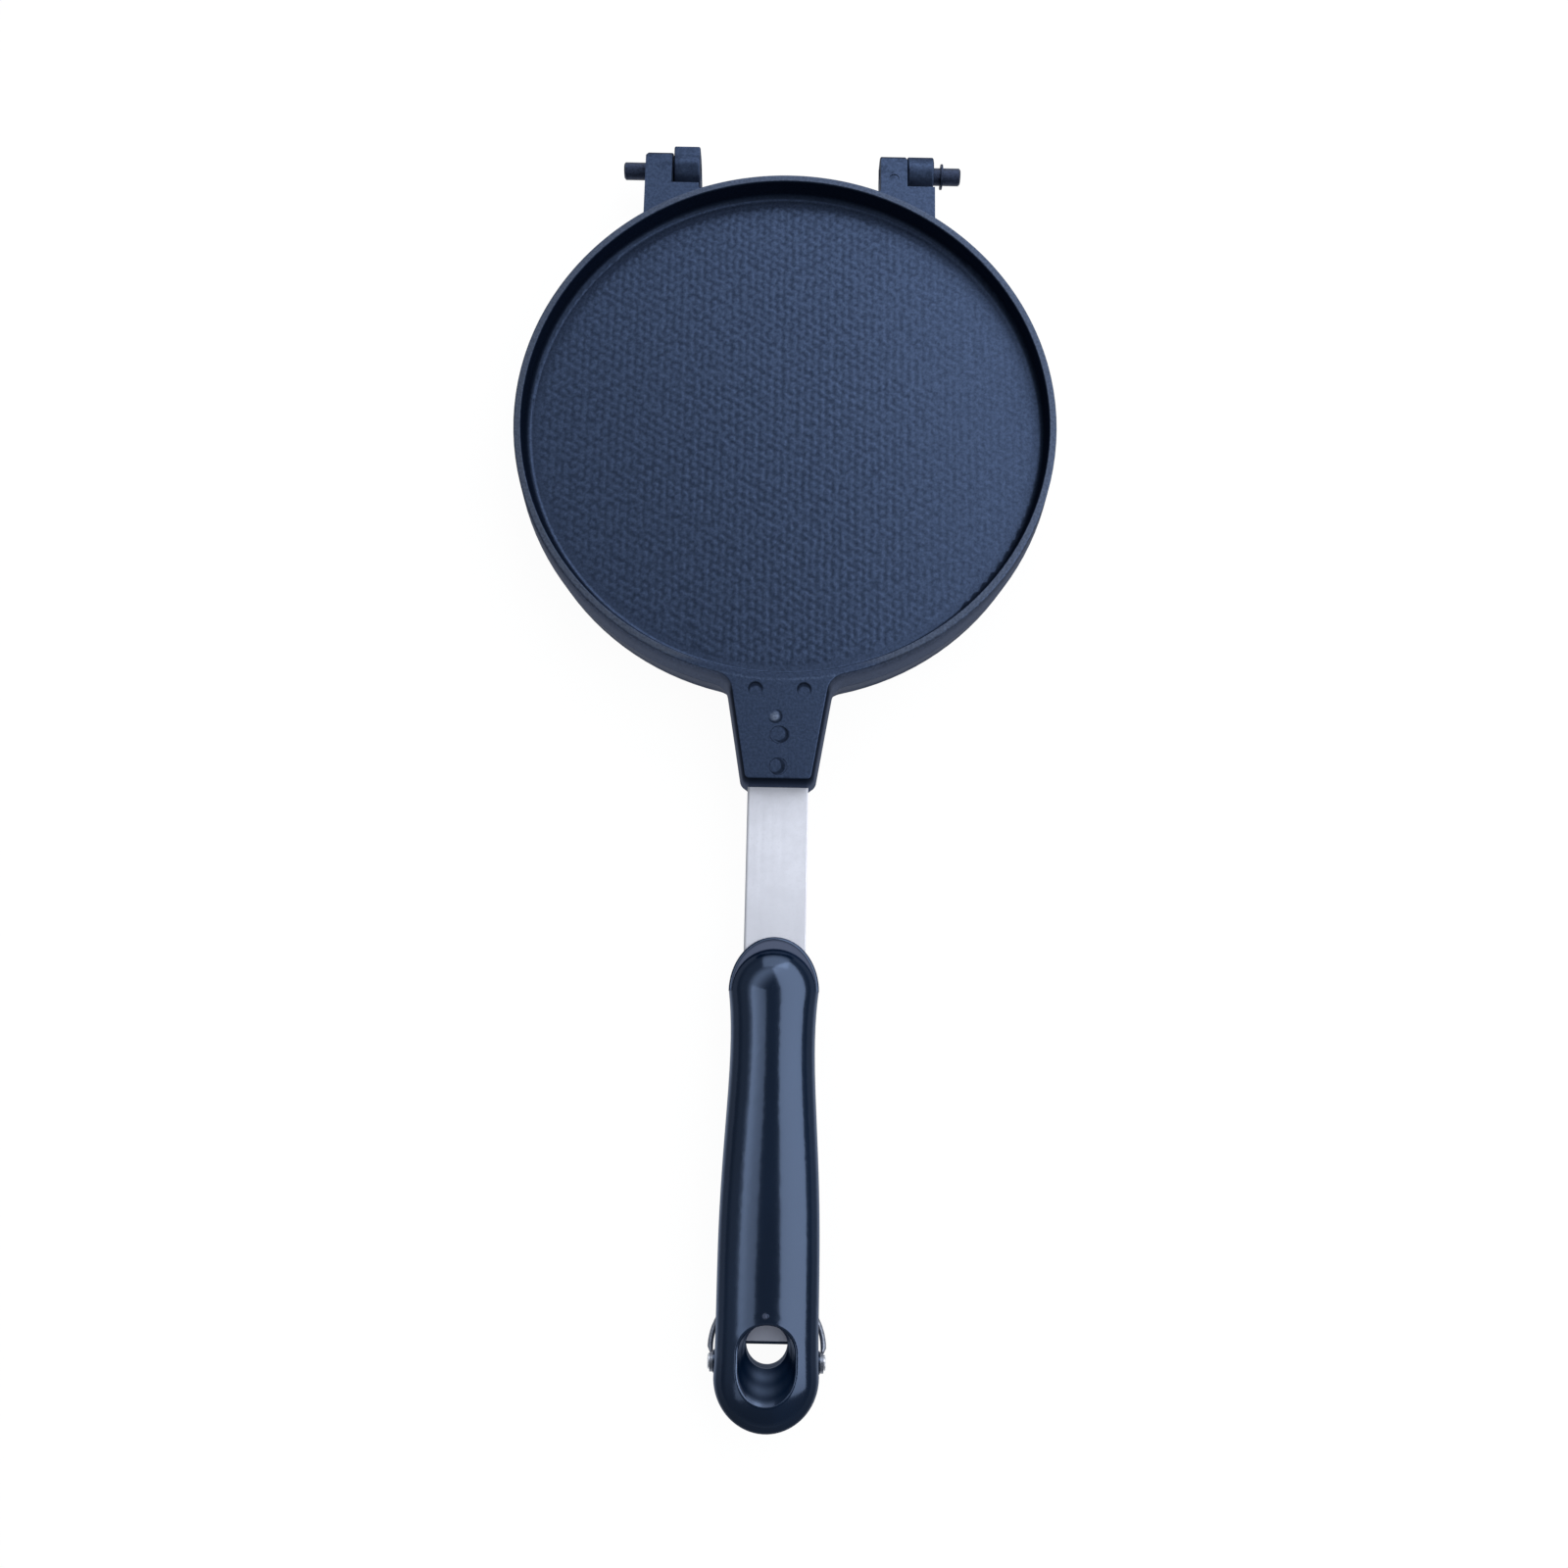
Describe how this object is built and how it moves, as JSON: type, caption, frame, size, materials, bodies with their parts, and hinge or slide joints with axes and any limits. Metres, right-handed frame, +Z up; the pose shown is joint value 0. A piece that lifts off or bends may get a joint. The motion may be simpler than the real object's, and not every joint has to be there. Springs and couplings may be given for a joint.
{
  "type": "double-sided pan",
  "caption": "Round double-sided hinged egg pan: two shallow coated castings, flat steel straps with moulded handles, and a wire bail that holds the halves shut.",
  "frame": {"origin": "middle of the ring on which the closed pan stands, at the level of the hob", "axes": "+X to the right seen from above with the handles near, +Y from the handles to the hinge, +Z up"},
  "size_m": [0.188, 0.4359, 0.026],
  "materials": {
    "casting": "cast aluminium under a satin, blue-black non-stick coating",
    "strap_steel": "satin",
    "pin_steel": "matt",
    "wire_steel": "bright",
    "handle_plastic": "glossy black phenolic"
  },
  "bodies": {
    "lower_half": {"lower_pan": "casting", "lower_strap": "strap_steel", "lower_handle": "handle_plastic", "lower_inner_rivet": "pin_steel", "lower_outer_rivet": "pin_steel", "left_hinge_pin": "pin_steel", "bail_rivet_right": "pin_steel", "bail_rivet_left": "pin_steel"},
    "upper_half": {"upper_pan": "casting", "upper_strap": "strap_steel", "upper_handle": "handle_plastic", "upper_inner_rivet": "pin_steel", "upper_outer_rivet": "pin_steel", "right_hinge_pin": "pin_steel", "pin_clip": "pin_steel"},
    "bail": {"bail": "wire_steel"}
  },
  "joints": [
    {"name": "pan_open", "type": "hinge", "parent": "lower_half", "child": "upper_half", "pos_m": [0, 0.1025, 0.013], "axis": [-1, 0, 0], "range_deg": [0, 180]},
    {"name": "bail_swing", "type": "hinge", "parent": "lower_half", "child": "bail", "pos_m": [0, -0.3074, 0.0095], "axis": [-1, 0, 0], "range_deg": [0, 290]}
  ]
}
